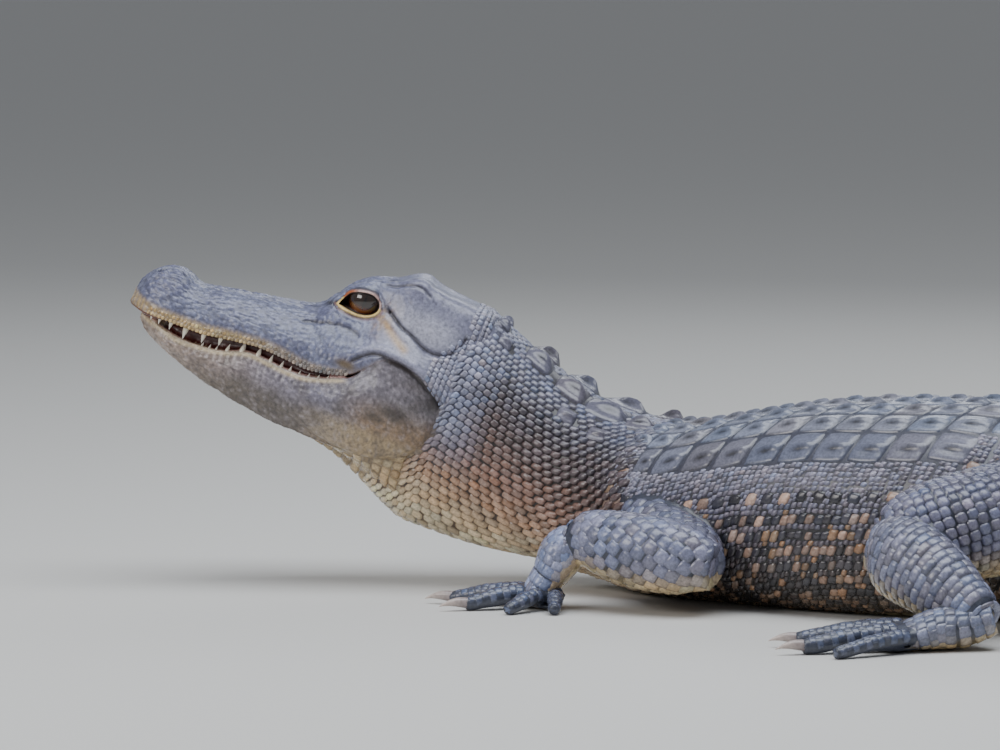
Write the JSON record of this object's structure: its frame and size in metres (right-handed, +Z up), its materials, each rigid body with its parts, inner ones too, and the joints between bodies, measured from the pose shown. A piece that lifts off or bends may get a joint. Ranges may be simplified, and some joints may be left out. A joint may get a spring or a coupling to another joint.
{
  "type": "american alligator",
  "caption": "Life-size still model of a subadult american alligator, resting on its belly with raised head, parted mouth and curved tail.",
  "frame": {"origin": "the middle of the flat that the belly rests on, below mid-trunk", "axes": "+Z up from the floor; X along the trunk with the head towards -X and the tail towards +X; the animal's left side faces -Y"},
  "size_m": [1.6589, 0.6032, 0.25],
  "materials": {
    "hide_blue_grey": "scaly hide, dark blue-grey, satin and slightly wet",
    "hide_pale_jaw": "scaly hide, pinkish cream to grey-tan with dark speckles, satin",
    "hide_brown_throat": "beaded scales, brown above and cream on the throat, satin",
    "hide_limbs": "scaly hide, dark blue-grey, satin",
    "claw_horn": "pale horn, semi-gloss",
    "eye": "dark brown, wet gloss"
  },
  "bodies": {
    "root": {"skull": "hide_blue_grey", "lower_jaw": "hide_pale_jaw", "eye_left": "eye", "eye_right": "eye", "neck": "hide_brown_throat", "torso": "hide_blue_grey", "tail_1": "hide_blue_grey", "tail_2": "hide_blue_grey", "tail_3": "hide_blue_grey", "tail_4": "hide_blue_grey", "upper_arm_left": "hide_limbs", "forearm_left": "hide_limbs", "hand_left": "hide_limbs", "thigh_left": "hide_limbs", "shank_left": "hide_limbs", "foot_left": "hide_limbs", "claw_hand_left_1": "claw_horn", "claw_hand_left_2": "claw_horn", "claw_hand_left_3": "claw_horn", "claw_foot_left_1": "claw_horn", "claw_foot_left_2": "claw_horn", "claw_foot_left_3": "claw_horn", "upper_arm_right": "hide_limbs", "forearm_right": "hide_limbs", "hand_right": "hide_limbs", "thigh_right": "hide_limbs", "shank_right": "hide_limbs", "foot_right": "hide_limbs", "claw_hand_right_1": "claw_horn", "claw_hand_right_2": "claw_horn", "claw_hand_right_3": "claw_horn", "claw_foot_right_1": "claw_horn", "claw_foot_right_2": "claw_horn", "claw_foot_right_3": "claw_horn"}
  },
  "joints": []
}
